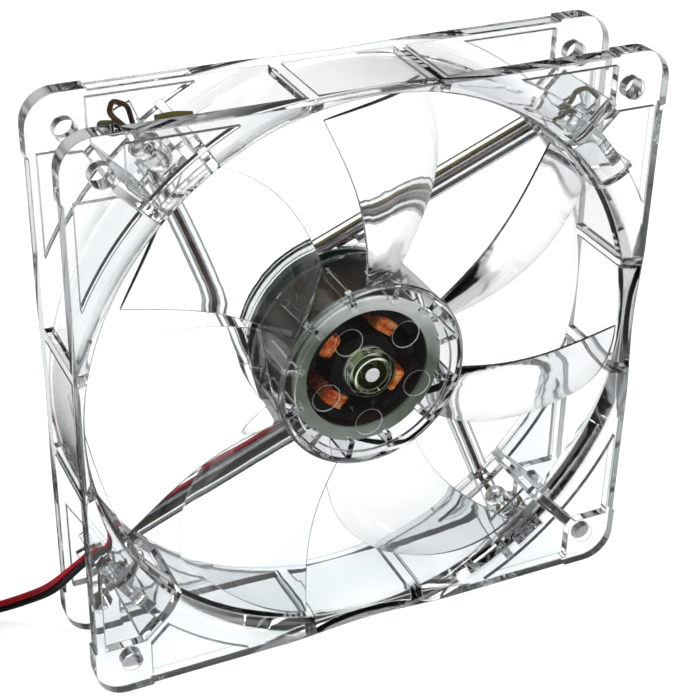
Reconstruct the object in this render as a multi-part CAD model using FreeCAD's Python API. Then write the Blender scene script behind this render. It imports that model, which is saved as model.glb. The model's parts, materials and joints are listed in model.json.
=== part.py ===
import FreeCAD
import Part
import math
import os

# A 120 mm axial case fan in clear plastic with four radial lamps.
# The fan stands on its lower edge. World axes: X across, Y along the airflow
# (the open inlet side is -Y, the strut side is +Y), Z up, rotor axis at Z = 60.
#
# Everything round the rotor is built lying down, with the axis along local Z
# and the inlet side up (h), then stood up by place(). So local (x, v, h) is
# world (x, -h, v + 60), and a world depth y is local h = -y.

V = FreeCAD.Vector

# ---- driving dimensions, mm ----
SIDE = 120.0
DEPTH = 25.0
HALF = SIDE / 2
HALF_DEPTH = DEPTH / 2
SIDE_RECESS = 0.5
CORNER_R = 6.5
FLANGE_T = 4.0
HOLE_PITCH = 105.0
HOLE_D = 4.3
PAD_LINE = 48.3
EDGE_LIP_LINE = 57.7
POCKET_DEPTH = 1.9
FACE_LIP_OUTER_R = 64.0
FLARE_R = 63.0
FLARE_START = 8.0
DUCT_R = 57.6
DUCT_OUTER_R = 59.2
WEB_T = 2.0

STRUT_OFFSET = 17.6
STRUT_ANGLE = 22.5
STRUT_W = 3.7
STRUT_DEPTH = 4.0
GROOVE_W = 1.6
WIDE_GROOVE_W = 2.5
GROOVE_DEPTH = 2.8

CUP_R = 20.0
CUP_WALL = 1.4
CUP_FRONT = 9.0
CUP_FLOOR = 11.4
CUP_REAR = 12.3
BOARD_FRONT = 8.9
BOARD_REAR = 9.8

HUB_R = 20.0
HUB_WALL_R = 18.8
HUB_FRONT = 10.8
HUB_REAR = -4.2
WINDOW_R = 16.7
WINDOW_RIM_R = 17.0
WINDOW_FRONT = 10.4
WINDOW_T = 1.2
BOSS_R = 4.9
BOSS_REAR = 6.1
DISH_R = 3.8
DISH_FLOOR = 9.8
SHAFT_FRONT = 10.2
SHAFT_R = 1.5
RIB_T = 1.2
MARK_R = 2.9
MARK_RING_R = 10.4

BLADES = 7
BLADE_TIP_R = 56.3
BLADE_ROOT_R = 19.3
BLADE_ROOT_T = 1.6
BLADE_TIP_T = 1.15

YOKE_R = 16.0
YOKE_INNER_R = 15.0
YOKE_FRONT = 7.2
YOKE_LIP_R = 13.2
MAGNET_INNER_R = 13.4
STATOR_R = 12.9
SHOE_R = 11.3
PIN_R = 11.7
POLE_ANGLE = 53.0
ARM_HALF = 1.3
WINDING_R = 10.8
WINDING_HALF = 2.9
TUBE_R = 4.2

LAMP_ANGLE = 38.5
LAMP_R = 2.5
LAMP_TIP = 58.0
LAMP_BACK = 66.6
LAMP_DEPTH = 1.5

WIRE_D = 1.0
CORE_D = 1.25
LEAD_D = 2.6
COIL_X = -92.0
COIL_Y = 14.0
COIL_MID_R = 13.5
COIL_TURNS = 4

LOCAL_Z = V(0, 0, 1)


# ---- small helpers ----
def cyl(radius, h0, h1, x=0.0, v=0.0):
    return Part.makeCylinder(radius, h1 - h0, V(x, v, h0))


def ring(outer, inner, h0, h1):
    return cyl(outer, h0, h1).cut(cyl(inner, h0 - 1, h1 + 1))


def block(x0, x1, v0, v1, h0, h1):
    return Part.makeBox(x1 - x0, v1 - v0, h1 - h0, V(x0, v0, h0))


def turned(shape, degrees):
    copy = shape.copy()
    copy.rotate(V(0, 0, 0), LOCAL_Z, degrees)
    return copy


def around(shape, count, start=0.0):
    return [turned(shape, start + 360.0 * i / count) for i in range(count)]


def fuse_all(shapes):
    return shapes[0].multiFuse(shapes[1:]).removeSplitter()


def polar(radius, degrees, h=0.0):
    a = math.radians(degrees)
    return V(radius * math.cos(a), radius * math.sin(a), h)


def plate(half, radius, h0, h1):
    slab = block(-half, half, -half, half, h0, h1)
    upright = [e for e in slab.Edges if abs(e.Vertexes[0].X - e.Vertexes[-1].X) < 1e-6
               and abs(e.Vertexes[0].Y - e.Vertexes[-1].Y) < 1e-6]
    return slab.makeFillet(radius, upright)


def strut_block(t0, t1, width, h0, h1, k, side=0.0):
    bar = block(t0, t1, STRUT_OFFSET + side - width / 2, STRUT_OFFSET + side + width / 2, h0, h1)
    return turned(bar, STRUT_ANGLE + 90 * k)


def strut_point(t, side, y, k):
    a = math.radians(STRUT_ANGLE + 90 * k)
    off = STRUT_OFFSET + side
    return V(t * math.cos(a) - off * math.sin(a), t * math.sin(a) + off * math.cos(a), -y)


def corner_point(x, v, y, k):
    a = math.radians(90 * k)
    return V(x * math.cos(a) - v * math.sin(a), x * math.sin(a) + v * math.cos(a), -y)


def place(shape):
    stood = shape.copy()
    stood.rotate(V(0, 0, 0), V(1, 0, 0), 90)
    stood.translate(V(0, 0, HALF))
    return stood


def rounded_path(points, share=0.45):
    """Straight runs joined by tangent arcs; returns the wire and the arc radii."""
    edges = []
    radii = []
    start = points[0]
    for i in range(1, len(points) - 1):
        back = points[i - 1] - points[i]
        ahead = points[i + 1] - points[i]
        short = min(back.Length, ahead.Length)
        back.normalize()
        ahead.normalize()
        turn = math.pi - back.getAngle(ahead)
        reach = share * short
        radius = reach / math.tan(turn / 2)
        radii.append(radius)
        a = points[i] + back * reach
        b = points[i] + ahead * reach
        middle = back + ahead
        middle.normalize()
        gap = radius / math.cos(turn / 2) - radius
        edges.append(Part.LineSegment(start, a).toShape())
        edges.append(Part.Arc(a, points[i] + middle * gap, b).toShape())
        start = b
    edges.append(Part.LineSegment(start, points[-1]).toShape())
    return Part.Wire(edges), radii


def tube(points, diameter, share=0.45):
    path, radii = rounded_path(points, share)
    first = points[1] - points[0]
    section = Part.Wire(Part.makeCircle(diameter / 2, points[0], first))
    solid = path.makePipeShell([section], True, False)
    return solid, path.Length, radii


# ---- frame: duct, flanges, corner webs, struts and motor cup in one moulding ----
def bore_tool():
    top = HALF_DEPTH
    over = top + 1
    edges = [
        Part.LineSegment(V(0, 0, over), V(FLARE_R, 0, over)).toShape(),
        Part.LineSegment(V(FLARE_R, 0, over), V(FLARE_R, 0, top)).toShape(),
        Part.Arc(V(FLARE_R, 0, top), V(59.35, 0, 11.3), V(DUCT_R, 0, FLARE_START)).toShape(),
        Part.LineSegment(V(DUCT_R, 0, FLARE_START), V(DUCT_R, 0, -FLARE_START)).toShape(),
        Part.Arc(V(DUCT_R, 0, -FLARE_START), V(59.35, 0, -11.3), V(FLARE_R, 0, -top)).toShape(),
        Part.LineSegment(V(FLARE_R, 0, -top), V(FLARE_R, 0, -over)).toShape(),
        Part.LineSegment(V(FLARE_R, 0, -over), V(0, 0, -over)).toShape(),
        Part.LineSegment(V(0, 0, -over), V(0, 0, over)).toShape(),
    ]
    return Part.Face(Part.Wire(edges)).revolve(V(0, 0, 0), LOCAL_Z, 360)


def corner_pockets(h0, h1):
    """Shallow triangular recesses either side of each corner pad."""
    first = block(20, PAD_LINE, 40, EDGE_LIP_LINE, h0, h1)
    second = block(40, EDGE_LIP_LINE, 20, PAD_LINE, h0, h1)
    keep_rib = turned(block(55, 75, -WEB_T / 2, WEB_T / 2, h0 - 1, h1 + 1), 45)
    one = first.fuse(second).cut(cyl(FACE_LIP_OUTER_R, h0 - 1, h1 + 1)).cut(keep_rib)
    return around(one, 4)


def make_frame():
    top = HALF_DEPTH
    inner = top - FLANGE_T
    solids = [cyl(DUCT_OUTER_R, -top, top)]
    solids.append(plate(HALF, CORNER_R, inner, top))
    solids.append(plate(HALF, CORNER_R, -top, -inner))
    web = block(58.5, 70.0, -WEB_T / 2, WEB_T / 2, -inner - 0.5, inner + 0.5)
    solids += around(web, 4, 45)
    lamp_wall = block(58.5, 66.0, -0.8, 0.8, -inner - 0.5, inner + 0.5)
    solids += around(lamp_wall, 4, 32.5)
    for side in (-1, 1):
        v = side * 59.2 * math.sin(math.radians(12.5))
        solids += around(block(57.7, HALF - SIDE_RECESS, v - 1.3, v + 1.3, -inner, inner), 4)
    body = fuse_all(solids)

    cuts = [bore_tool()]
    cuts += corner_pockets(top - POCKET_DEPTH, top + 1)
    cuts += corner_pockets(-top - 1, -top + POCKET_DEPTH)
    cuts += around(block(HALF - SIDE_RECESS, HALF + 1, -PAD_LINE, PAD_LINE, -top - 1, top + 1), 4)
    cuts += around(cyl(HOLE_D / 2, -top - 1, top + 1, HOLE_PITCH / 2, HOLE_PITCH / 2), 4)
    half_window = 5.3
    window = block(56, 60.2, -half_window, half_window, -5, 5)
    cuts += around(window, 4, 38.75)
    for cut in cuts:
        body = body.cut(cut)

    parts = [body]
    for k in range(4):
        strut = strut_block(4.0, 61.5, STRUT_W, -top, -top + STRUT_DEPTH, k)
        parts.append(strut.cut(cyl(CUP_R - CUP_WALL + 0.2, -top - 1, top)))
    parts.append(ring(CUP_R, CUP_R - CUP_WALL, -top, -CUP_FRONT))
    parts.append(ring(CUP_R - CUP_WALL / 2, 3.3, -CUP_REAR, -CUP_FLOOR))
    parts.append(ring(6.0, TUBE_R + 0.05, -CUP_FLOOR - 0.2, -10.2))
    for k in range(4):
        post = polar(15.2, 100 + 90 * k)
        parts.append(cyl(1.0, -CUP_FLOOR - 0.2, -BOARD_REAR, post.x, post.y))
    cradle = block(62.6, 64.4, -3.6, 3.6, -LAMP_DEPTH, inner + 0.4)
    seat = Part.makeCylinder(LAMP_R + 0.05, 10, V(58, 0, -LAMP_DEPTH), V(1, 0, 0))
    parts += around(cradle.cut(seat), 4, LAMP_ANGLE)
    body = fuse_all(parts)

    for k in range(4):
        width = WIDE_GROOVE_W if k == 2 else GROOVE_W
        groove = strut_block(2.2, 62.0, width, -top - 1, -top + GROOVE_DEPTH, k)
        slot_w = 5.6 if k == 2 else 3.4
        slot = strut_block(58.0, 67.5, slot_w, -top - 1, -inner + 0.5, k)
        body = body.cut(groove).cut(slot)
    return body.removeSplitter()


# ---- impeller: hub, window disc, inner ribs and seven blades in one moulding ----
def blade_edge(radius):
    """Leading and trailing edge angle and depth of the first blade at a radius."""
    t = (radius - 56.2) / 36.2
    lead_a = 101.48 + 9.08 * t - 12.10 * t ** 2 - 14.24 * t ** 3
    lead_h = 9.85 + 0.46 * t - 1.59 * t ** 2 - 1.80 * t ** 3
    trail_a = 75.23 + 39.87 * t + 23.74 * t ** 2 + 4.49 * t ** 3
    trail_h = -2.86 + 1.86 * t + 0.89 * t ** 2 - 0.94 * t ** 3
    return lead_a, lead_h, trail_a, trail_h


def blade_mid(radius, s):
    """Point on the middle surface; s runs from 0 at the leading edge to 1."""
    lead_a, lead_h, trail_a, trail_h = blade_edge(radius)
    bend = 1.55 + 0.75 * (radius - 20.0) / 36.3
    angle = lead_a + (trail_a - lead_a) * s
    h = lead_h + (trail_h - lead_h) * s ** bend
    return polar(radius, angle, h)


def blade_solid():
    rows = 11
    cols = 11
    upper = []
    lower = []
    for i in range(rows):
        radius = BLADE_ROOT_R + (BLADE_TIP_R - BLADE_ROOT_R) * i / (rows - 1)
        body_t = BLADE_ROOT_T + (BLADE_TIP_T - BLADE_ROOT_T) * i / (rows - 1)
        up_row = []
        low_row = []
        for j in range(cols):
            s = j / (cols - 1)
            p = blade_mid(radius, s)
            s0 = max(s - 0.02, 0.0)
            s1 = min(s + 0.02, 1.0)
            along = blade_mid(radius, s1) - blade_mid(radius, s0)
            out = blade_mid(radius + 0.4, s) - blade_mid(radius - 0.4, s)
            normal = along.cross(out)
            normal.normalize()
            taper = 0.42 + 0.58 * math.sin(math.pi * min(max(s, 0.0), 1.0)) ** 0.55
            half = body_t * taper / 2
            up_p = p + normal * half
            low_p = p - normal * half
            up_row.append(at_radius(up_p, radius))
            low_row.append(at_radius(low_p, radius))
        upper.append(up_row)
        lower.append(low_row)
    top = Part.BSplineSurface()
    top.interpolate(upper)
    bottom = Part.BSplineSurface()
    bottom.interpolate(lower)
    faces = [top.toShape(), bottom.toShape()]
    u0, u1, v0, v1 = top.bounds()
    pairs = [
        (top.uIso(u0), bottom.uIso(u0)),
        (top.uIso(u1), bottom.uIso(u1)),
        (top.vIso(v0), bottom.vIso(v0)),
        (top.vIso(v1), bottom.vIso(v1)),
    ]
    for a, b in pairs:
        faces.append(Part.makeRuledSurface(a.toShape(), b.toShape()))
    shell = Part.makeShell(faces)
    shell.sewShape(1e-4)
    solid = Part.makeSolid(Part.Shell(shell.Faces))
    if solid.Volume < 0:
        solid.reverse()
    return solid


def at_radius(point, radius):
    """Pull a point straight in or out so that it lies on the given cylinder."""
    now = math.hypot(point.x, point.y)
    return V(point.x * radius / now, point.y * radius / now, point.z)


def make_impeller():
    bore = SHAFT_R + 0.01
    edge = 0.9
    profile = [
        Part.LineSegment(V(HUB_R, 0, HUB_REAR), V(HUB_R, 0, HUB_FRONT - edge)).toShape(),
        Part.Arc(V(HUB_R, 0, HUB_FRONT - edge),
                 V(HUB_R - edge * 0.29, 0, HUB_FRONT - edge * 0.29),
                 V(HUB_R - edge, 0, HUB_FRONT)).toShape(),
    ]
    corners = [
        V(HUB_R - edge, 0, HUB_FRONT),
        V(WINDOW_RIM_R, 0, HUB_FRONT),
        V(WINDOW_R, 0, WINDOW_FRONT),
        V(DISH_R, 0, WINDOW_FRONT),
        V(DISH_R - 0.5, 0, DISH_FLOOR),
        V(bore, 0, DISH_FLOOR),
        V(bore, 0, BOSS_REAR),
        V(BOSS_R, 0, BOSS_REAR),
        V(BOSS_R, 0, WINDOW_FRONT - WINDOW_T),
        V(HUB_WALL_R, 0, WINDOW_FRONT - WINDOW_T),
        V(HUB_WALL_R, 0, HUB_REAR),
        V(HUB_R, 0, HUB_REAR),
    ]
    for a, b in zip(corners[:-1], corners[1:]):
        profile.append(Part.LineSegment(a, b).toShape())
    hub = Part.Face(Part.Wire(profile)).revolve(V(0, 0, 0), LOCAL_Z, 360)

    rib_front = WINDOW_FRONT - WINDOW_T + 0.4
    ribs = []
    top_rib = block(15.2, 19.2, -RIB_T / 2, RIB_T / 2, YOKE_FRONT + 0.05, rib_front)
    side_rib = block(YOKE_R + 0.05, 19.2, -RIB_T / 2, RIB_T / 2, -2.0, rib_front)
    ribs += around(top_rib.fuse(side_rib), 12, 15)
    marks = [cyl(MARK_R, WINDOW_FRONT - 0.15, WINDOW_FRONT + 0.3,
                 polar(MARK_RING_R, 50 + 72 * i).x, polar(MARK_RING_R, 50 + 72 * i).y) for i in range(5)]
    hub = hub.multiFuse(ribs)
    for mark in marks:
        hub = hub.cut(mark)

    blade = blade_solid()
    print("blade volume", round(blade.Volume, 1), "valid", blade.isValid())
    blades = around(blade, BLADES)
    return hub.multiFuse(blades).removeSplitter()


# ---- motor ----
def make_yoke():
    wall = ring(YOKE_R, YOKE_INNER_R, -7.8, YOKE_FRONT)
    lip = ring(YOKE_R, YOKE_LIP_R, YOKE_FRONT - 0.8, YOKE_FRONT)
    return wall.fuse(lip).removeSplitter()


def make_magnet():
    return ring(YOKE_INNER_R - 0.05, MAGNET_INNER_R, -6.5, YOKE_FRONT - 0.9)


def make_shaft():
    groove_h = -8.9
    rod = cyl(SHAFT_R, -10.2, SHAFT_FRONT)
    groove = ring(SHAFT_R + 0.5, SHAFT_R - 0.3, groove_h, groove_h + 0.4)
    rod = rod.cut(groove)
    ends = [e for e in rod.Edges if len(e.Vertexes) == 1
            and (abs(e.Vertexes[0].Z - SHAFT_FRONT) < 0.01 or abs(e.Vertexes[0].Z + 10.2) < 0.01)]
    return rod.makeChamfer(0.25, ends)


def make_bearing_tube():
    wall = ring(TUBE_R, 3.4, -CUP_FLOOR, 5.6)
    lip = ring(TUBE_R, 2.6, 5.0, 5.6)
    return wall.fuse(lip).removeSplitter()


def make_sleeve_bearing():
    return ring(3.35, SHAFT_R + 0.03, -8.0, 3.2)


def make_oil_ring():
    return ring(3.3, SHAFT_R + 0.2, 3.2, 5.0)


def make_thrust_washer():
    return ring(3.2, SHAFT_R + 0.1, -8.4, -8.0)


def make_retaining_clip():
    clip = ring(2.5, SHAFT_R - 0.28, -8.88, -8.52)
    return clip.cut(block(0, 4, -0.7, 0.7, -10, -8))


def make_end_cap():
    disc = cyl(3.35, -CUP_FLOOR, -10.5)
    spigot = cyl(3.2, -CUP_FLOOR - 0.8, -CUP_FLOOR)
    return disc.fuse(spigot).removeSplitter()


def arm_block(r0, r1, half, h0, h1, i):
    return turned(block(r0, r1, -half, half, h0, h1), POLE_ANGLE + 90 * i)


def pole_shoes(outer, inner, h0, h1, span):
    rim = ring(outer, inner, h0, h1)
    gaps = []
    for i in range(4):
        gap = block(inner - 1, outer + 1, -span, span, h0 - 1, h1 + 1)
        gaps.append(turned(gap, POLE_ANGLE + 45 + 90 * i))
    return rim.cut(gaps[0].multiFuse(gaps[1:]))


def make_stator_core():
    parts = [ring(6.6, TUBE_R + 0.05, -4.0, 2.0)]
    for i in range(4):
        parts.append(arm_block(5.5, SHOE_R + 0.5, ARM_HALF, -4.0, 2.0, i))
    parts.append(pole_shoes(STATOR_R, SHOE_R, -4.0, 2.0, 2.0))
    return fuse_all(parts)


def make_bobbin(h_core, h_arm, h_out):
    """Insulator half: collar round the tube, arm covers and outer coil walls."""
    lo = min(h_core, h_out)
    hi = max(h_core, h_out)
    parts = [ring(6.9, TUBE_R + 0.05, lo, hi)]
    for i in range(4):
        parts.append(arm_block(6.0, PIN_R + 0.3, ARM_HALF + 0.4, min(h_core, h_arm), max(h_core, h_arm), i))
    walls = pole_shoes(STATOR_R - 0.4, WINDING_R + 0.1, lo, hi, 3.4)
    parts.append(walls)
    return fuse_all(parts)


def make_coil(i):
    outer = arm_block(7.2, 12.2, WINDING_HALF, -6.9, 4.9, i)
    hole = arm_block(6.0, 14.0, ARM_HALF + 0.45, -4.75, 2.75, i)
    coil = outer.cut(hole)
    return coil.cut(cyl(6.95, -10, 10)).common(cyl(WINDING_R, -10, 10))


def make_board():
    board = ring(18.3, TUBE_R + 0.15, -BOARD_REAR, -BOARD_FRONT)
    for i in range(4):
        p = polar(PIN_R, POLE_ANGLE + 90 * i)
        board = board.cut(cyl(0.45, -11, -8, p.x, p.y))
    return board


def make_pins():
    pins = []
    for i in range(4):
        p = polar(PIN_R, POLE_ANGLE + 90 * i)
        pins.append(cyl(0.35, -BOARD_REAR - 0.3, -7.5, p.x, p.y))
    return Part.makeCompound(pins)


def make_chip(radius, angle, length, width, height):
    face = -BOARD_FRONT
    chip = block(radius - width / 2, radius + width / 2, -length / 2, length / 2, face, face + height)
    return turned(chip, angle)


# ---- lamps and their wires ----
def make_lamp(k):
    tip = LAMP_TIP
    back = LAMP_BACK
    centre = tip + LAMP_R
    edges = [
        Part.Arc(V(tip, 0, 0), V(centre - LAMP_R * math.cos(math.radians(45)), 0,
                                 LAMP_R * math.sin(math.radians(45))),
                 V(centre, 0, LAMP_R)).toShape(),
        Part.LineSegment(V(centre, 0, LAMP_R), V(back - 1.0, 0, LAMP_R)).toShape(),
        Part.LineSegment(V(back - 1.0, 0, LAMP_R), V(back - 1.0, 0, LAMP_R + 0.4)).toShape(),
        Part.LineSegment(V(back - 1.0, 0, LAMP_R + 0.4), V(back, 0, LAMP_R + 0.4)).toShape(),
        Part.LineSegment(V(back, 0, LAMP_R + 0.4), V(back, 0, 0)).toShape(),
        Part.LineSegment(V(back, 0, 0), V(tip, 0, 0)).toShape(),
    ]
    lamp = Part.Face(Part.Wire(edges)).revolve(V(0, 0, 0), V(1, 0, 0), 360)
    lamp.translate(V(0, 0, -LAMP_DEPTH))
    return turned(lamp, LAMP_ANGLE + 90 * k)


def make_lamp_legs(k):
    legs = []
    for side in (-1, 1):
        h = -LAMP_DEPTH + side * 1.27
        legs.append(block(LAMP_BACK, 69.6, -0.25, 0.25, h - 0.25, h + 0.25))
    return turned(Part.makeCompound(legs), LAMP_ANGLE + 90 * k)


def lamp_wire(k, side, depth, bend_t, tail):
    """One thin wire: under the circuit board, along its strut, to a lamp leg."""
    points = [
        strut_point(3.4, side, depth, k),
        strut_point(bend_t, side, depth, k),
    ]
    points += [corner_point(x, v, y, k) for x, v, y in tail]
    solid, _, _ = tube(points, WIRE_D, 0.35)
    return solid


def export(name, shape, stand=True):
    final = place(shape) if stand else shape
    final.exportStep("parts/" + name + ".step")
    box = final.optimalBoundingBox()
    print("%-20s valid=%s solids=%d vol=%9.1f  x %.1f..%.1f y %.1f..%.1f z %.1f..%.1f" % (
        name, final.isValid(), len(final.Solids), final.Volume,
        box.XMin, box.XMax, box.YMin, box.YMax, box.ZMin, box.ZMax))


os.makedirs("parts", exist_ok=True)

export("frame", make_frame())
export("impeller", make_impeller())
export("rotor_yoke", make_yoke())
export("magnet_ring", make_magnet())
export("shaft", make_shaft())
export("bearing_tube", make_bearing_tube())
export("sleeve_bearing", make_sleeve_bearing())
export("oil_ring", make_oil_ring())
export("thrust_washer", make_thrust_washer())
export("retaining_clip", make_retaining_clip())
export("end_cap", make_end_cap())
export("stator_core", make_stator_core())
export("bobbin_front", make_bobbin(2.0, 2.7, 5.3))
export("bobbin_rear", make_bobbin(-4.0, -4.7, -7.5))
for i in range(4):
    export("coil_%d" % (i + 1), make_coil(i))
export("circuit_board", make_board())
export("terminal_pins", make_pins())
export("hall_sensor", make_chip(14.0, POLE_ANGLE + 45, 3.0, 2.4, 1.0))
export("driver_chip", make_chip(9.6, POLE_ANGLE + 130, 4.4, 3.6, 1.1))
export("capacitor", make_chip(9.8, POLE_ANGLE + 225, 2.0, 1.3, 1.2))
export("rear_label", cyl(17.2, -12.45, -CUP_REAR))

CORNERS = ("tr", "tl", "bl", "br")
TAILS_BROWN = {
    "tr": [(52.9, 40.7, 8.0), (56.2, 40.0, 4.6), (57.2, 42.4, 1.2), (55.35, 44.0, 0.23)],
    "tl": [(53.0, 40.6, 8.0), (56.4, 41.6, 7.0), (58.2, 44.8, 5.6), (57.2, 46.4, 2.6), (55.3, 44.3, 0.23)],
    "bl": [(52.9, 41.6, 7.6), (53.9, 46.8, 5.0), (56.2, 47.0, 1.2), (55.3, 44.3, 0.23)],
    "br": [(52.9, 40.7, 8.0), (56.4, 40.8, 4.8), (57.2, 42.8, 1.4), (55.35, 44.0, 0.23)],
}
TAILS_OLIVE = {
    "tr": [(51.9, 41.7, 7.9), (51.6, 45.2, 6.0), (52.9, 46.7, 3.6), (54.8, 44.6, 2.77)],
    "tl": [(51.9, 41.7, 7.9), (52.2, 45.6, 6.6), (54.8, 48.0, 4.9), (55.1, 44.6, 2.77)],
    "bl": [(51.2, 42.2, 8.0), (51.2, 45.6, 6.2), (52.7, 46.4, 3.8), (54.8, 44.6, 2.77)],
    "br": [(51.9, 41.7, 7.9), (51.6, 45.2, 6.0), (52.9, 46.7, 3.6), (54.8, 44.6, 2.77)],
}
for k, corner in enumerate(CORNERS):
    export("lamp_" + corner, make_lamp(k))
    export("lamp_legs_" + corner, make_lamp_legs(k))
    side = 0.7 if corner == "bl" else 0.0
    export("wire_brown_" + corner, lamp_wire(k, side, 10.35, 59.2, TAILS_BROWN[corner]))
    export("wire_olive_" + corner, lamp_wire(k, side, 11.65, 61.4, TAILS_OLIVE[corner]))

# Shrink sleeve over a spare joint, lying along the top left corner.
SLEEVE_LINE = ((57.3, 39.8, -3.3), (57.4, 36.6, -3.0), (56.9, 33.2, -3.2))
sleeve_line = [corner_point(x, v, y, 1) for x, v, y in SLEEVE_LINE]
shrink, _, _ = tube(sleeve_line, 1.7)
export("heat_shrink", shrink)

# Power lead: two cores in the wide strut, then a flat lead out of the corner.
LEAD_K = 2
lead_side = -0.5
for name, depth, bend_t, end in (("lead_red", 11.75, 61.4, 7.25), ("lead_black", 10.45, 59.6, 5.65)):
    points = [
        strut_point(3.4, lead_side, depth, LEAD_K),
        strut_point(bend_t, lead_side, depth, LEAD_K),
        corner_point(54.2, 38.9, end + 0.2, LEAD_K),
        corner_point(56.0, 39.95, end, LEAD_K),
    ]
    core, _, _ = tube(points, CORE_D, 0.3)
    export(name, core)

# Free lead, in world coordinates, down to the floor and into its coil.
FREE_ROUTE = [
    V(-56.0, 6.45, 20.05),
    V(-58.4, 6.2, 18.65),
    V(-63.0, 6.4, 15.2),
    V(-67.0, 11.6, 10.2),
    V(-71.8, 17.2, 5.2),
    V(-78.0, 21.6, 2.0),
    V(-82.6, 23.9, 1.31),
]
free, free_length, free_radii = tube(FREE_ROUTE, LEAD_D)
export("lead_free", free, False)
section = math.pi * (LEAD_D / 2) ** 2
print("lead_free length %.1f  volume/section %.1f  radii %s" % (
    free_length, free.Volume / section, [round(r, 1) for r in free_radii]))

coil_outer = COIL_MID_R + LEAD_D / 2
coil_inner = COIL_MID_R - LEAD_D / 2
coil_height = COIL_TURNS * LEAD_D
hank = Part.makeCylinder(coil_outer, coil_height, V(COIL_X, COIL_Y, 0))
hank = hank.cut(Part.makeCylinder(coil_inner, coil_height + 2, V(COIL_X, COIL_Y, -1)))
export("lead_coil", hank, False)

TAIL_ROUTE = [
    V(COIL_X - COIL_MID_R, COIL_Y - 4.6, coil_height - LEAD_D / 2),
    V(COIL_X - COIL_MID_R - 0.2, 4.4, 7.5),
    V(COIL_X - COIL_MID_R + 0.3, -0.8, 4.5),
    V(COIL_X - COIL_MID_R + 1.2, -5.4, 2.9),
]
tail, tail_length, tail_radii = tube(TAIL_ROUTE, LEAD_D)
export("lead_tail", tail, False)
print("lead_tail length %.1f  volume/section %.1f  radii %s" % (
    tail_length, tail.Volume / section, [round(r, 1) for r in tail_radii]))

# Three-way socket housing at the end of the lead, lying flat on the surface.
CONN_W = 8.6
CONN_H = 5.8
CONN_L = 14.0
end = TAIL_ROUTE[-1]
heading = TAIL_ROUTE[-1] - TAIL_ROUTE[-2]
conn_angle = math.degrees(math.atan2(heading.y, heading.x))


def conn_block(l0, l1, w0, w1, z0, z1):
    piece = Part.makeBox(l1 - l0, w1 - w0, z1 - z0, V(l0, w0, z0))
    piece.rotate(V(0, 0, 0), V(0, 0, 1), conn_angle)
    piece.translate(V(end.x, end.y, 0))
    return piece


housing = conn_block(0, CONN_L, -CONN_W / 2, CONN_W / 2, 0, CONN_H)
for i in (-1, 0, 1):
    housing = housing.cut(conn_block(1.2, CONN_L + 1, 2.54 * i - 0.9, 2.54 * i + 0.9, 1.9, 3.9))
for w in (-CONN_W / 2 - 0.6, CONN_W / 2 - 0.4):
    housing = housing.fuse(conn_block(2.0, CONN_L - 1.0, w, w + 1.0, 0, 1.0))
export("connector_housing", housing.removeSplitter(), False)
terminals = []
for i in (-1, 0):
    outer_box = conn_block(1.2, CONN_L - 1.5, 2.54 * i - 0.8, 2.54 * i + 0.8, 2.0, 3.8)
    inner_box = conn_block(3.0, CONN_L, 2.54 * i - 0.5, 2.54 * i + 0.5, 2.3, 3.5)
    terminals.append(outer_box.cut(inner_box))
export("connector_terminals", Part.makeCompound(terminals), False)
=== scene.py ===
import json
import math
import random

import bmesh
import bpy
from mathutils import Matrix, Vector


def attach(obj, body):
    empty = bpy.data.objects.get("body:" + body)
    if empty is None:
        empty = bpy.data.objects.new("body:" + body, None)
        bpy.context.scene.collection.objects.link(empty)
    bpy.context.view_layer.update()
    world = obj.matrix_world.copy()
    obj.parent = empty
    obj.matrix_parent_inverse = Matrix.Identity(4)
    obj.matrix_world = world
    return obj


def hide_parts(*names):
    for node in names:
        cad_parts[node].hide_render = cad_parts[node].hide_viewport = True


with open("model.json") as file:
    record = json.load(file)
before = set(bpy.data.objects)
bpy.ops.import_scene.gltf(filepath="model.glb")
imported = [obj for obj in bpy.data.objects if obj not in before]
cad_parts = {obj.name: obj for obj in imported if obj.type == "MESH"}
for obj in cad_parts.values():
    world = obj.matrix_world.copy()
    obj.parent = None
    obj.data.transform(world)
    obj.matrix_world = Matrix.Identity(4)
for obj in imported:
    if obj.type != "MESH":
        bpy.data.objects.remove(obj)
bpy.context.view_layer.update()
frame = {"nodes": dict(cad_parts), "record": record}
NODES = frame["nodes"]
SCENE = bpy.context.scene
MM = 0.001
AXIS_AT = (0.0, 0.0, 0.06)  # a point on the rotor's axis, which is parallel to Y
FLOOR_Z = -0.0002  # just under the fan, so that the floor and the flange don't share a plane

# ---------------------------------------------------------------- camera
# Fitted to the photograph's straight edges, screw holes and rotor circle.
CAMERA_AT = (-121.8, -252.3, 225.9)
CAMERA_YAW = 25.72
CAMERA_PITCH = 30.58
CAMERA_ROLL = 1.34
FOCAL_PIXELS = 1627.0
FRAME_PIXELS = 700.0
SENSOR_WIDTH = 36.0


def place_camera():
    yaw = math.radians(CAMERA_YAW)
    pitch = math.radians(CAMERA_PITCH)
    roll = math.radians(CAMERA_ROLL)
    level = math.cos(pitch)
    ahead = Vector((math.sin(yaw) * level, math.cos(yaw) * level, -math.sin(pitch)))
    right = Vector((math.cos(yaw), -math.sin(yaw), 0.0))
    up = right.cross(ahead)
    side = math.cos(roll) * right + math.sin(roll) * up
    top = -math.sin(roll) * right + math.cos(roll) * up
    data = bpy.data.cameras.new("camera")
    data.sensor_width = SENSOR_WIDTH
    data.lens = SENSOR_WIDTH * FOCAL_PIXELS / FRAME_PIXELS
    data.clip_start = 0.01
    data.clip_end = 20.0
    cam = bpy.data.objects.new("camera", data)
    turn = Matrix((side, top, -ahead)).transposed().to_4x4()
    cam.matrix_world = Matrix.Translation(Vector(CAMERA_AT) * MM) @ turn
    SCENE.collection.objects.link(cam)
    SCENE.camera = cam


place_camera()


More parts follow.
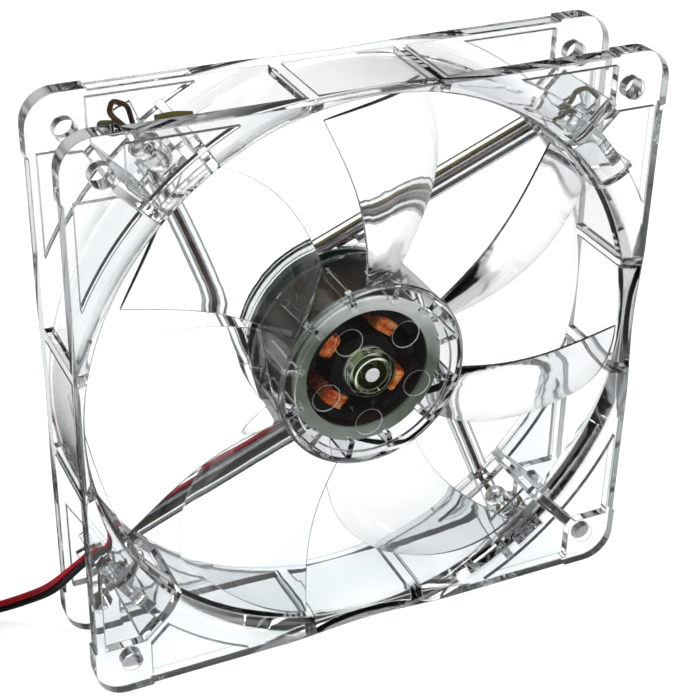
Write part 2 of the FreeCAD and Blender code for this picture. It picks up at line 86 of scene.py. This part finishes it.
# ---------------------------------------------------------------- node helpers
class Nodes:
    """A node tree, written one node at a time: a new material's, or the world's."""

    def __init__(self, name, world=None):
        self.mat = world or bpy.data.materials.new(name)
        self.mat.use_nodes = True
        self.tree = self.mat.node_tree
        self.shader = self.tree.nodes["Background" if world else "Principled BSDF"]
        self.out = self.tree.nodes["World Output" if world else "Material Output"]
        self.coord = self.add("ShaderNodeTexCoord")

    def add(self, kind, **values):
        node = self.tree.nodes.new(kind)
        for key, value in values.items():
            if hasattr(node, key):
                setattr(node, key, value)
            else:
                node.inputs[key].default_value = value
        return node

    def link(self, out, into):
        self.tree.links.new(out, into)

    def set(self, **values):
        for key, value in values.items():
            self.shader.inputs[key.replace("_", " ")].default_value = value

    def noise(self, scale, detail=3.0, roughness=0.5, stretch=None):
        tex = self.add("ShaderNodeTexNoise")
        tex.inputs["Scale"].default_value = scale
        tex.inputs["Detail"].default_value = detail
        tex.inputs["Roughness"].default_value = roughness
        source = self.coord.outputs["Object"]
        if stretch:
            mapping = self.add("ShaderNodeMapping")
            mapping.inputs["Scale"].default_value = stretch
            self.link(source, mapping.inputs["Vector"])
            source = mapping.outputs["Vector"]
        self.link(source, tex.inputs["Vector"])
        return tex.outputs["Fac"]

    def ramp(self, value, stops):
        node = self.add("ShaderNodeValToRGB")
        ramp = node.color_ramp
        while len(ramp.elements) < len(stops):
            ramp.elements.new(0.5)
        for element, (at, colour) in zip(ramp.elements, stops):
            element.position = at
            element.color = (*colour, 1.0)
        self.link(value, node.inputs["Fac"])
        return node.outputs["Color"]

    def remap(self, value, lo, hi, out_lo, out_hi):
        node = self.add("ShaderNodeMapRange")
        node.inputs["From Min"].default_value = lo
        node.inputs["From Max"].default_value = hi
        node.inputs["To Min"].default_value = out_lo
        node.inputs["To Max"].default_value = out_hi
        self.link(value, node.inputs["Value"])
        return node.outputs["Result"]

    def math(self, operation, first, second):
        node = self.add("ShaderNodeMath", operation=operation)
        for value, socket in ((first, node.inputs[0]), (second, node.inputs[1])):
            if isinstance(value, (int, float)):
                socket.default_value = value
            else:
                self.link(value, socket)
        return node.outputs[0]

    def mix_colour(self, share, first, second):
        """The Mix node's colour sockets are inputs 6 and 7, and output 2."""
        node = self.add("ShaderNodeMix", data_type="RGBA")
        self.link(share, node.inputs[0])
        for value, socket in ((first, node.inputs[6]), (second, node.inputs[7])):
            if isinstance(value, tuple):
                socket.default_value = (*value, 1.0)
            else:
                self.link(value, socket)
        return node.outputs[2]

    def mix_value(self, share, first, second):
        """The Mix node's number sockets are inputs 2 and 3, and output 0."""
        node = self.add("ShaderNodeMix", data_type="FLOAT")
        for value, at in ((share, 0), (first, 2), (second, 3)):
            self.link(value, node.inputs[at])
        return node.outputs[0]

    def mix_shader(self, share, first, second):
        node = self.add("ShaderNodeMixShader")
        for value, socket in zip((share, first, second), node.inputs):
            self.link(value, socket)
        return node.outputs[0]

    def show(self, shader):
        self.link(shader, self.out.inputs["Surface"])

    def dot(self, vector, other):
        node = self.add("ShaderNodeVectorMath", operation="DOT_PRODUCT")
        self.link(vector, node.inputs[0])
        if isinstance(other, tuple):
            node.inputs[1].default_value = other
        else:
            self.link(other, node.inputs[1])
        return node.outputs["Value"]

    def distance(self, place, source=None):
        node = self.add("ShaderNodeVectorMath", operation="DISTANCE")
        node.inputs[1].default_value = place
        self.link(source or self.coord.outputs["Object"], node.inputs[0])
        return node.outputs["Value"]

    def bump(self, value, strength, distance, after=None):
        node = self.add("ShaderNodeBump")
        node.inputs["Strength"].default_value = strength
        node.inputs["Distance"].default_value = distance
        self.link(value, node.inputs["Height"])
        if after is not None:
            self.link(after, node.inputs["Normal"])
        return node.outputs["Normal"]


# ---------------------------------------------------------------- clear plastics
# The edge mask rises over this range of the cosine between the true and the rounded normal.
EDGE_FADE = (0.99, 0.86)
CLEAR_BODY = (0.985, 0.99, 0.992)
SHADOW_TINT = (0.93, 0.94, 0.945, 1.0)
# Distances from the rotor's axis, in metres: the motor behind the hub, the shaft boss and its rim with
# a painted highlight, which shows only where the distance along GLINT_LEAN is past GLINT_FADE.
MOTOR_RIM = (0.0165, 0.0185)
BOSS_RIM = (0.0047, 0.0052)
GLINT_RIM_IN = (0.0033, 0.0035)
GLINT_RIM_OUT = (0.0040, 0.0042)
GLINT_LEAN = (-0.6, 0.0, 0.8)
GLINT_FADE = (0.0480, 0.0500)
HUB_EDGE_R = 0.00022
# Painted highlight: over the motor the hub's edges are painted pale and less clear, with this share and
# this tone. The boss rim's painted highlight uses the same tone.
PAINTED_EDGE_HIGHLIGHT_SHARE = 0.55
PAINTED_HIGHLIGHT_TONE = (0.80, 0.84, 0.82)
BOSS_TINT = (0.30, 0.36, 0.16)


def colour_hub(n, body, dark, edge, edge_r, rounded):
    """Over the dark motor the moulded edges are painted pale and less clear as a painted highlight, and
    the boss's rim carries a painted highlight on its upper left side.
    """
    spot = n.add("ShaderNodeSeparateXYZ")
    n.link(n.coord.outputs["Object"], spot.inputs[0])
    flat = n.add("ShaderNodeCombineXYZ")
    n.link(spot.outputs["X"], flat.inputs["X"])
    n.link(spot.outputs["Z"], flat.inputs["Z"])
    radius = n.distance(AXIS_AT, flat.outputs[0])
    inside = n.remap(radius, *MOTOR_RIM, 1.0, 0.0)
    n.link(n.remap(radius, *MOTOR_RIM, HUB_EDGE_R, edge_r), rounded.inputs["Radius"])
    # Painted highlight: within the motor rim the edges are painted pale.
    painted_edge_highlight = n.math("MULTIPLY", n.math("MULTIPLY", edge, inside), PAINTED_EDGE_HIGHLIGHT_SHARE)
    tinted = n.mix_colour(n.remap(radius, *BOSS_RIM, 1.0, 0.0), body, BOSS_TINT)
    # Painted highlight: a bright ring on the boss's rim, on its upper left side only.
    painted_rim_glint = n.math("MULTIPLY", n.remap(radius, *GLINT_RIM_IN, 0.0, 1.0), n.remap(radius, *GLINT_RIM_OUT, 1.0, 0.0))
    upper_left = n.remap(n.dot(flat.outputs[0], GLINT_LEAN), *GLINT_FADE, 0.0, 1.0)
    painted_highlights = n.math("MAXIMUM", painted_edge_highlight, n.math("MULTIPLY", painted_rim_glint, upper_left))
    n.link(n.remap(painted_highlights, 0.0, 1.0, 1.0, 0.0), n.shader.inputs["Transmission Weight"])
    light = n.mix_colour(painted_highlights, tinted, PAINTED_HIGHLIGHT_TONE)
    n.link(n.mix_colour(inside, dark, light), n.shader.inputs["Base Color"])


def clear_plastic(name, ior, tint, wave, fine, edge_r, painted_edge_shade, hub=False):
    """Moulded clear plastic: slow flow waves, fine marks, and painted shade on the rounded edges."""
    n = Nodes(name)
    n.set(Transmission_Weight=1.0, IOR=ior)
    haze = n.noise(900.0, 4.0, 0.6)
    n.link(n.remap(haze, 0.35, 0.75, 0.004, 0.03), n.shader.inputs["Roughness"])
    rounded = n.add("ShaderNodeBevel", samples=4)
    rounded.inputs["Radius"].default_value = edge_r
    face = n.add("ShaderNodeNewGeometry")
    edge = n.remap(n.dot(rounded.outputs["Normal"], face.outputs["Normal"]), *EDGE_FADE, 0.0, 1.0)
    cloud = n.noise(60.0, 2.0)
    body = n.ramp(cloud, [(0.3, tint), (0.75, CLEAR_BODY)])
    # Painted shade: the body colour is darkened along the rounded edges.
    dark = n.mix_colour(edge, body, painted_edge_shade)
    if hub:
        colour_hub(n, body, dark, edge, edge_r, rounded)
    else:
        n.link(dark, n.shader.inputs["Base Color"])
    flow = n.noise(42.0, 1.0, 0.4)
    first = n.bump(flow, wave, 0.0006, rounded.outputs["Normal"])
    marks = n.noise(700.0, 2.0, 0.5)
    n.link(n.bump(marks, fine, 0.00004, first), n.shader.inputs["Normal"])
    path = n.add("ShaderNodeLightPath")
    lit = n.add("ShaderNodeBsdfTransparent", Color=SHADOW_TINT)
    n.show(n.mix_shader(path.outputs["Is Shadow Ray"], n.shader.outputs["BSDF"], lit.outputs[0]))
    return n.mat


# ---------------------------------------------------------------- other materials
def plastic(name, dark, light, rough_lo, rough_hi, grain=1800.0, bump=0.25, coat=0.0, gloss=0.5):
    """Opaque plastic, or felt: two tones in broad clouds, and a fine grain."""
    n = Nodes(name)
    n.set(Specular_IOR_Level=gloss)
    spots = n.noise(grain, 4.0, 0.6)
    broad = n.noise(grain / 14.0, 2.0, 0.5)
    n.link(n.ramp(broad, [(0.3, dark), (0.75, light)]), n.shader.inputs["Base Color"])
    n.link(n.remap(spots, 0.3, 0.75, rough_lo, rough_hi), n.shader.inputs["Roughness"])
    n.link(n.bump(spots, bump, 0.00004), n.shader.inputs["Normal"])
    if coat:
        n.set(Coat_Weight=coat, Coat_Roughness=0.12)
    return n.mat


def metal(name, dark, light, rough_lo, rough_hi, stretch=(1.0, 30.0, 1.0), grain=900.0, bump=0.15,
          shine=1.0):
    """Metal with fine marks in its gloss. By default they are lines that run across the part's Y."""
    n = Nodes(name)
    n.set(Metallic=shine)
    lines = n.noise(grain, 3.0, 0.6, stretch)
    broad = n.noise(grain / 20.0, 2.0)
    n.link(n.ramp(broad, [(0.3, dark), (0.75, light)]), n.shader.inputs["Base Color"])
    n.link(n.remap(lines, 0.3, 0.75, rough_lo, rough_hi), n.shader.inputs["Roughness"])
    n.link(n.bump(lines, bump, 0.00003), n.shader.inputs["Normal"])
    return n.mat


EVEN = (1.0, 1.0, 1.0)

MATS = {
    # The last colour of each clear plastic is the painted shade on its rounded edges.
    "clear_frame": clear_plastic("clear_frame", 1.57, (0.90, 0.925, 0.935), 0.10, 0.10, 0.00034,
                                 (0.20, 0.215, 0.22)),
    "clear_impeller": clear_plastic("clear_impeller", 1.57, (0.93, 0.945, 0.955), 0.06, 0.06, 0.0003,
                                    (0.10, 0.115, 0.12), hub=True),
    "lamp_resin": clear_plastic("lamp_resin", 1.52, (0.94, 0.95, 0.955), 0.03, 0.03, 0.0003,
                                (0.3, 0.32, 0.33)),
    "magnet": plastic("magnet", (0.010, 0.006, 0.005), (0.024, 0.015, 0.011), 0.4, 0.55, gloss=0.25),
    "polished_steel": metal("polished_steel", (0.74, 0.75, 0.76), (0.94, 0.95, 0.96), 0.26, 0.42,
                            shine=0.35),
    "tube_plastic": plastic("tube_plastic", (0.030, 0.036, 0.012), (0.065, 0.075, 0.03), 0.12, 0.25,
                            1200.0, 0.1, 0.4),
    "bronze": metal("bronze", (0.35, 0.21, 0.09), (0.5, 0.32, 0.16), 0.28, 0.45, EVEN, 2500.0, 0.5),
    "felt": plastic("felt", (0.30, 0.26, 0.19), (0.42, 0.38, 0.3), 0.85, 0.98, 2600.0, 1.0),
    "nylon": plastic("nylon", (0.62, 0.61, 0.57), (0.74, 0.73, 0.69), 0.35, 0.5),
    "lamination": metal("lamination", (0.16, 0.16, 0.17), (0.3, 0.3, 0.31), 0.3, 0.5,
                        (1.0, 26.0, 1.0), 90.0, 0.8),
    "bobbin_plastic": plastic("bobbin_plastic", (0.004, 0.003, 0.003), (0.010, 0.008, 0.008), 0.3, 0.45,
                              gloss=0.18),
    "board": plastic("board", (0.003, 0.009, 0.005), (0.007, 0.020, 0.011), 0.2, 0.32, 900.0, 0.1, 0.2),
    "chip_black": plastic("chip_black", (0.010, 0.010, 0.010), (0.022, 0.022, 0.022), 0.5, 0.65,
                          3500.0, 0.5),
    "ceramic": plastic("ceramic", (0.24, 0.16, 0.09), (0.36, 0.26, 0.16), 0.4, 0.55),
    "tinned": metal("tinned", (0.46, 0.46, 0.45), (0.64, 0.64, 0.62), 0.18, 0.38, EVEN, 1500.0, 0.3),
    "wire_brown": plastic("wire_brown", (0.014, 0.005, 0.002), (0.060, 0.022, 0.006), 0.25, 0.4,
                          1200.0, 0.2, 0.1, 0.3),
    "wire_olive": plastic("wire_olive", (0.036, 0.030, 0.005), (0.10, 0.085, 0.016), 0.25, 0.4,
                          1200.0, 0.2, 0.1, 0.3),
    "sleeve_black": plastic("sleeve_black", (0.010, 0.009, 0.004), (0.075, 0.066, 0.014), 0.35, 0.5,
                            gloss=0.3),
    "lead_red": plastic("lead_red", (0.16, 0.001, 0.004), (0.27, 0.003, 0.007), 0.26, 0.38,
                        1300.0, 0.2, 0.1, 0.3),
    "lead_black": plastic("lead_black", (0.003, 0.003, 0.004), (0.007, 0.007, 0.008), 0.25, 0.38,
                          1300.0, 0.2, 0.1, 0.3),
    "housing_black": plastic("housing_black", (0.010, 0.010, 0.011), (0.020, 0.020, 0.021), 0.35, 0.5),
    "terminal_brass": metal("terminal_brass", (0.52, 0.42, 0.24), (0.7, 0.6, 0.4), 0.2, 0.35),
    "label_dark": plastic("label_dark", (0.008, 0.008, 0.010), (0.018, 0.018, 0.022), 0.3, 0.42,
                          2200.0, 0.15, 0.2),
}


def copper_wire():
    """Enamelled copper: orange, with darker red patches as painted shade and pale orange patches as
    painted highlights, laid at random.
    """
    n = Nodes("copper")
    n.set(Metallic=0.5, Coat_Weight=0.5, Coat_Roughness=0.1)
    broad = n.noise(560.0, 2.0, 0.6)
    # Random patches: the dark red stop is painted shade and the pale orange stop a painted highlight.
    tones = [(0.32, (0.55, 0.05, 0.010)), (0.52, (1.0, 0.26, 0.05)), (0.70, (1.0, 0.58, 0.22))]
    n.link(n.ramp(broad, tones), n.shader.inputs["Base Color"])
    fine = n.noise(3200.0, 2.0, 0.5)
    n.link(n.remap(fine, 0.3, 0.7, 0.2, 0.36), n.shader.inputs["Roughness"])
    n.link(n.bump(fine, 0.3, 0.00003), n.shader.inputs["Normal"])
    return n.mat


# The yoke's bare zinc lip, painted pale as a painted reflection, starts at this Y and is fully bare at
# the second, in metres. Its painted highlight is palest at the upper end of YOKE_HIGHLIGHT_LEAN, over
# the given range along it.
LIP_FROM = (-0.0060, -0.0069)
YOKE_HIGHLIGHT_LEAN = (0.42, 0.0, 0.91)
YOKE_HIGHLIGHT_SPAN = (0.0396, 0.0696)
YOKE_STAINS = [(0.42, (0.001, 0.001, 0.001)), (0.54, (0.014, 0.008, 0.002)),
               (0.68, (0.018, 0.023, 0.015))]
LIP_PAINTED_REFLECTION = [(0.15, (0.42, 0.47, 0.41)), (0.30, (0.24, 0.28, 0.22)), (0.58, (0.16, 0.20, 0.14)),
            (0.70, (0.50, 0.55, 0.50)), (0.82, (0.97, 0.98, 0.97))]


def yoke_steel():
    """Dark lacquered cup with brown and olive stains on the side. Its front lip is bare zinc painted
    pale as a painted reflection, palest towards the upper side as a painted highlight.
    """
    n = Nodes("yoke_steel")
    n.set(Specular_IOR_Level=0.15)
    place = n.coord.outputs["Object"]
    spot = n.add("ShaderNodeSeparateXYZ")
    n.link(place, spot.inputs[0])
    front = n.remap(spot.outputs["Y"], *LIP_FROM, 0.0, 1.0)
    stain = n.ramp(n.noise(70.0, 1.5, 0.5, (1.0, 0.6, 1.0)), YOKE_STAINS)
    # Painted reflection and painted highlight: the lip is paler than the side, and palest towards the
    # upper end of YOKE_HIGHLIGHT_LEAN, with some random patches.
    height = n.remap(n.dot(place, YOKE_HIGHLIGHT_LEAN), *YOKE_HIGHLIGHT_SPAN, 0.0, 0.7)
    highlight_and_patches = n.math("ADD", height, n.math("MULTIPLY", n.noise(130.0, 1.0, 0.5), 0.3))
    n.link(n.mix_colour(front, stain, n.ramp(highlight_and_patches, LIP_PAINTED_REFLECTION)), n.shader.inputs["Base Color"])
    n.link(n.math("MULTIPLY", front, 0.5), n.shader.inputs["Metallic"])
    fine = n.noise(1500.0, 3.0)
    n.link(n.remap(fine, 0.3, 0.75, 0.30, 0.34), n.shader.inputs["Roughness"])
    n.link(n.bump(n.noise(90.0, 1.0), 0.06, 0.0004), n.shader.inputs["Normal"])
    return n.mat


MATS["copper"] = copper_wire()
MATS["yoke_steel"] = yoke_steel()
MATS["lead_pair"] = MATS["lead_red"]


def add_mesh(name, mesh, materials):
    """Turn a finished bmesh into an object of the scene."""
    bmesh.ops.recalc_face_normals(mesh, faces=mesh.faces)
    data = bpy.data.meshes.new(name)
    mesh.to_mesh(data)
    mesh.free()
    obj = bpy.data.objects.new(name, data)
    SCENE.collection.objects.link(obj)
    for material in materials:
        data.materials.append(MATS[material])
    return obj


# ---------------------------------------------------------------- power lead
# All in millimetres and degrees, as in the CAD source. CORD_D is the flat twin lead's width.
CORD_D = 2.6
CORE_R = 0.66
CORE_SPREAD = 1.28
EXIT_UP = (0.0, 1.0, 0.1)
LAID_FLAT_AFTER = 14.0
CORE_SIDES = 20
FREE_ROUTE = [
    (-56.0, 6.45, 20.05),
    (-58.4, 6.2, 18.65),
    (-63.0, 6.4, 15.2),
    (-67.0, 11.6, 10.2),
    (-71.8, 17.2, 5.2),
    (-78.0, 21.6, 2.0),
    (-82.6, 23.9, 1.31),
]
COIL_CENTRE = (-92.0, 14.0)
COIL_R = 13.5
COIL_START = 63.4
COIL_SWEEP = 360.0 * 3 + 180.0 - COIL_START
POINTS_PER_TURN = 16
CURVE_STEPS = 8
SAME_POINT = 1e-6  # in metres
TAIL_ROUTE = [
    (-105.7, 4.6, 8.1),
    (-105.2, -0.8, 4.7),
    (-104.3, -5.4, 2.9),
]


def lead_points():
    """The lead's control points. Those of the coil lie outside it, so that the curve meets it."""
    points = list(FREE_ROUTE)
    steps = round(COIL_SWEEP / 360.0 * POINTS_PER_TURN)
    half_step = math.radians(COIL_SWEEP / steps / 2)
    radius = COIL_R * 2 / (1 + math.cos(half_step))
    for i in range(1, steps + 1):
        share = (i - 0.5) / steps
        angle = math.radians(COIL_START + COIL_SWEEP * share)
        rise = CORD_D * COIL_SWEEP * share / 360.0
        points.append((COIL_CENTRE[0] + radius * math.cos(angle),
                       COIL_CENTRE[1] + radius * math.sin(angle),
                       CORD_D / 2 + rise))
    return points + TAIL_ROUTE


def spline_line(points):
    """Points along the smooth curve that has these control points."""
    data = bpy.data.curves.new("lead_line", "CURVE")
    data.dimensions = "3D"
    data.resolution_u = CURVE_STEPS
    spline = data.splines.new("NURBS")
    spline.points.add(len(points) - 1)
    for point, xyz in zip(spline.points, points):
        point.co = (*[c * MM for c in xyz], 1.0)
    spline.order_u = 3
    spline.use_endpoint_u = True
    holder = bpy.data.objects.new("lead_line", data)
    SCENE.collection.objects.link(holder)
    mesh = bpy.data.meshes.new_from_object(holder)
    line = [v.co.copy() for v in mesh.vertices]
    bpy.data.meshes.remove(mesh)
    bpy.data.objects.remove(holder)
    clean = [line[0]]
    for p in line[1:]:
        if (p - clean[-1]).length > SAME_POINT:
            clean.append(p)
    return clean


def twin_lead(name, line, core_r, spread, start_up, turn_over):
    """Two round cores side by side, swept along the line. The pair turns from start_up to lie flat."""
    mesh = bmesh.new()
    steps = CORE_SIDES
    outline = []
    for core in (1, -1):
        ring = []
        for k in range(steps):
            a = 2 * math.pi * k / steps
            ring.append((math.cos(a) * core_r, math.sin(a) * core_r + core * spread / 2))
        outline.append(ring)
    travelled = 0.0
    rings = ([], [])
    for i, p in enumerate(line):
        before = line[max(i - 1, 0)]
        after = line[min(i + 1, len(line) - 1)]
        ahead = (after - before).normalized()
        if i:
            travelled += (p - line[i - 1]).length
        share = min(travelled / turn_over, 1.0)
        share = share * share * (3 - 2 * share)
        up = start_up.lerp(Vector((0, 0, 1)), share)
        up = (up - ahead * up.dot(ahead)).normalized()
        side = ahead.cross(up)
        for core in (0, 1):
            rings[core].append([mesh.verts.new(p + side * x + up * y) for x, y in outline[core]])
    for core in (0, 1):
        for a, b in zip(rings[core][:-1], rings[core][1:]):
            for k in range(steps):
                face = mesh.faces.new((a[k], a[(k + 1) % steps], b[(k + 1) % steps], b[k]))
                face.smooth = True
                face.material_index = core
        for end, flip in ((rings[core][0], True), (rings[core][-1], False)):
            cap = mesh.faces.new(list(reversed(end)) if flip else end)
            cap.material_index = core
    return add_mesh(name, mesh, ["lead_red", "lead_black"])


line = spline_line(lead_points())
lead = twin_lead("power_lead", line, CORE_R * MM, CORE_SPREAD * MM, Vector(EXIT_UP),
                 LAID_FLAT_AFTER * MM)
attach(lead, "housing")
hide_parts("lead_free", "lead_coil", "lead_tail")


# ---------------------------------------------------------------- stator windings
# In millimetres from the rotor's axis; WIND_H is the reach along it, to the rear and to the front.
POLES = 4
POLE_ANGLE = 53.0
LAYERS = 3
LAYER_INSET = 0.32
TURNS = 9
STRAND_SIDES = 7
CORNER_R = 1.1
CORNER_STEPS = 5
LOOSE = 0.05
LEAN = 0.16
TUCK = 0.12
HALF_HEIGHT = 4.7
FIRST_SEED = 11
STRAND_R = 0.17
WIND_IN = 7.4
WIND_OUT = 10.55
WIND_HALF = 2.45
WIND_H = (-6.68, 4.68)


def loop_outline(half, low, high, bend, steps):
    """A rounded rectangle round one stator arm, as (across, along) pairs."""
    corners = [(half, high, 0), (-half, high, 90), (-half, low, 180), (half, low, 270)]
    points = []
    for across, along, start in corners:
        cx = across - math.copysign(bend, across)
        cy = along - bend if along == high else along + bend
        for k in range(steps + 1):
            a = math.radians(start + 90.0 * k / steps)
            points.append((cx + bend * math.cos(a), cy + bend * math.sin(a)))
    return points


def winding(name, pole, seed):
    """Turns of wire laid side by side round one arm, in layers."""
    rng = random.Random(seed)
    angle = math.radians(POLE_ANGLE + 360.0 / POLES * pole)
    out = Vector((math.cos(angle), 0.0, math.sin(angle)))
    across = Vector((-math.sin(angle), 0.0, math.cos(angle)))
    mesh = bmesh.new()
    sides = STRAND_SIDES
    nearest = WIND_IN + STRAND_R
    for layer in range(LAYERS):
        inset = LAYER_INSET * layer
        for t in range(TURNS):
            share = (t + 0.5 * (layer % 2)) / (TURNS - 0.5)
            r = nearest + (WIND_OUT - WIND_IN - 2 * STRAND_R) * share + rng.uniform(-LOOSE, LOOSE)
            lean = rng.uniform(-LEAN, LEAN) if layer == 0 else 0.0
            tuck = inset + rng.uniform(0.0, TUCK)
            path = loop_outline(WIND_HALF - tuck, WIND_H[0] + tuck, WIND_H[1] - tuck, CORNER_R - inset,
                                CORNER_STEPS)
            rings = []
            for i, (a, h) in enumerate(path):
                b0, b1 = path[i - 1], path[(i + 1) % len(path)]
                ahead = Vector((b1[0] - b0[0], b1[1] - b0[1])).normalized()
                reach = min(max(r + lean * h / HALF_HEIGHT, nearest), WIND_OUT - STRAND_R)
                centre = out * reach + across * a + Vector((0, -h, 0))
                normal = across * ahead.y - Vector((0, -ahead.x, 0))
                ring = []
                for k in range(sides):
                    turn = 2 * math.pi * k / sides
                    at = centre + (normal * math.cos(turn) + out * math.sin(turn)) * STRAND_R
                    ring.append(mesh.verts.new(at * MM + Vector(AXIS_AT)))
                rings.append(ring)
            for one, two in zip(rings, rings[1:] + rings[:1]):
                for k in range(sides):
                    face = mesh.faces.new((one[k], one[(k + 1) % sides], two[(k + 1) % sides], two[k]))
                    face.smooth = True
    return add_mesh(name, mesh, ["copper"])


for pole in range(POLES):
    coil = winding("winding_%d" % (pole + 1), pole, FIRST_SEED + pole)
    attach(coil, "housing")
    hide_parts("coil_%d" % (pole + 1))


# ---------------------------------------------------------------- carried-over parts
SMOOTH_UNDER = 28.0
SLOT_OF = {entry["node"]: entry["material_slot"] for entry in frame["record"]["subparts"]}
for name, node in NODES.items():
    node.data.materials.clear()
    node.data.materials.append(MATS[SLOT_OF[name]])


def soften(node, degrees):
    """Shade curved faces smoothly and keep real edges sharp."""
    node.data.shade_smooth()
    node.data.set_sharp_from_angle(angle=math.radians(degrees))


for name, node in NODES.items():
    soften(node, SMOOTH_UNDER)


# ---------------------------------------------------------------- floor, world and lights
# World tone by height, from the horizon to the zenith: as it lights the fan, and as the fan mirrors it.
DOME = [(0.0, 0.125), (0.16, 0.156), (0.42, 0.312), (1.0, 0.494)]
DOME_MIRRORED = [(0.0, 0.28), (0.12, 0.20), (0.25, 0.05), (1.0, 0.05)]
# In mirrored rays only, the floor is dim and darkest round two places, like a light table with flags.
# OUTER_TONE is its tone away from them at a ray's first bounce, and INNER_TONE at the later ones.
CARD_TONE = 0.03
FRONT_CARD_AT = (0.05, -0.11, FLOOR_Z)
BACK_CARD_AT = (-0.07, 0.10, FLOOR_Z)
CARD_REACH = (0.05, 0.14)
INNER_TONE = 0.5
OUTER_TONE = 0.35
FLOOR_HALF = 3.0
FLOOR_FADE = (0.3, 1.0)
FIRST_BOUNCE = 1.5
WHITE = (1.0, 1.0, 1.0, 1.0)


def floor_material():
    """White paper, which fades into the white backdrop far from the fan."""
    n = Nodes("floor_white")
    spots = n.noise(3.0, 2.0)
    tones = [(0.3, (0.93, 0.93, 0.93)), (0.7, (0.95, 0.95, 0.95))]
    n.link(n.ramp(spots, tones), n.shader.inputs["Base Color"])
    n.set(Roughness=0.8, Specular_IOR_Level=0.1)
    far = n.distance((0.0, 0.0, 0.0))
    glow = n.add("ShaderNodeEmission", Strength=1.0)
    paper = n.mix_shader(n.remap(far, *FLOOR_FADE, 0.0, 1.0), n.shader.outputs["BSDF"], glow.outputs[0])
    path = n.add("ShaderNodeLightPath")
    near = n.math("MINIMUM", n.distance(FRONT_CARD_AT), n.distance(BACK_CARD_AT))
    inner, outer = (n.remap(near, *CARD_REACH, CARD_TONE, tone) for tone in (INNER_TONE, OUTER_TONE))
    dim = n.add("ShaderNodeBsdfDiffuse")
    first = n.math("LESS_THAN", path.outputs["Ray Depth"], FIRST_BOUNCE)
    n.link(n.mix_value(first, inner, outer), dim.inputs["Color"])
    mirrored = n.math("GREATER_THAN", path.outputs["Glossy Depth"], 0.5)
    n.show(n.mix_shader(mirrored, paper, dim.outputs[0]))
    return n.mat


def make_floor():
    data = bpy.data.meshes.new("floor")
    half = FLOOR_HALF
    corners = [(x, y, FLOOR_Z) for x, y in ((-half, -half), (half, -half), (half, half), (-half, half))]
    data.from_pydata(corners, [], [(0, 1, 2, 3)])
    obj = bpy.data.objects.new("floor", data)
    data.materials.append(floor_material())
    SCENE.collection.objects.link(obj)


def make_world():
    """A soft studio dome. What is seen straight, through clear plastic or not, is white."""
    SCENE.world = bpy.data.worlds.new("studio")
    n = Nodes("studio", SCENE.world)
    split = n.add("ShaderNodeSeparateXYZ")
    n.link(n.coord.outputs["Generated"], split.inputs[0])
    height = split.outputs["Z"]
    lit, mirrored = (n.ramp(height, [(at, (v, v, v)) for at, v in stops])
                     for stops in (DOME, DOME_MIRRORED))
    path = n.add("ShaderNodeLightPath")
    n.link(n.mix_colour(path.outputs["Is Glossy Ray"], lit, mirrored), n.shader.inputs["Color"])
    straight = path.outputs["Is Transmission Ray"]
    for bounces in ("Glossy Depth", "Diffuse Depth"):
        straight = n.math("MULTIPLY", straight, n.math("LESS_THAN", path.outputs[bounces], 0.5))
    white = n.add("ShaderNodeBackground", Color=WHITE)
    direct = n.math("MAXIMUM", path.outputs["Is Camera Ray"], straight)
    n.show(n.mix_shader(direct, n.shader.outputs["Background"], white.outputs["Background"]))


# Name, place, what it is aimed at, size, power, and whether glossy surfaces mirror it.
LIGHTS = [
    ("overhead", (0.0, 0.1, 1.3), (0.0, 0.0, 0.0), (1.6, 1.2), 16.5, False),
    ("strip", (-0.35, -0.25, 1.0), AXIS_AT, (0.9, 0.07), 2.6, True),
    ("left_panel", (-1.2, -0.3, 0.7), AXIS_AT, (0.7, 0.9), 3.6, True),
    ("front_fill", (0.25, -1.2, 0.55), AXIS_AT, (0.6, 0.4), 2.4, True),
    ("right_panel", (1.1, -0.5, 0.6), AXIS_AT, (0.5, 0.8), 2.0, True),
]


def area_light(name, at, aim, size, power, mirrored):
    data = bpy.data.lights.new(name, "AREA")
    data.shape = "RECTANGLE"
    data.size, data.size_y = size
    data.energy = power
    obj = bpy.data.objects.new(name, data)
    obj.location = at
    obj.visible_glossy = mirrored
    obj.rotation_euler = (Vector(aim) - Vector(at)).to_track_quat("-Z", "Y").to_euler()
    SCENE.collection.objects.link(obj)


make_floor()
make_world()
for light in LIGHTS:
    area_light(*light)

SCENE.view_settings.view_transform = "Standard"
SCENE.cycles.use_denoising = True
SCENE.cycles.max_bounces = 24
SCENE.cycles.transmission_bounces = 24
SCENE.cycles.glossy_bounces = 8
SCENE.cycles.transparent_max_bounces = 24
SCENE.cycles.caustics_refractive = True
SCENE.cycles.sample_clamp_indirect = 6.0
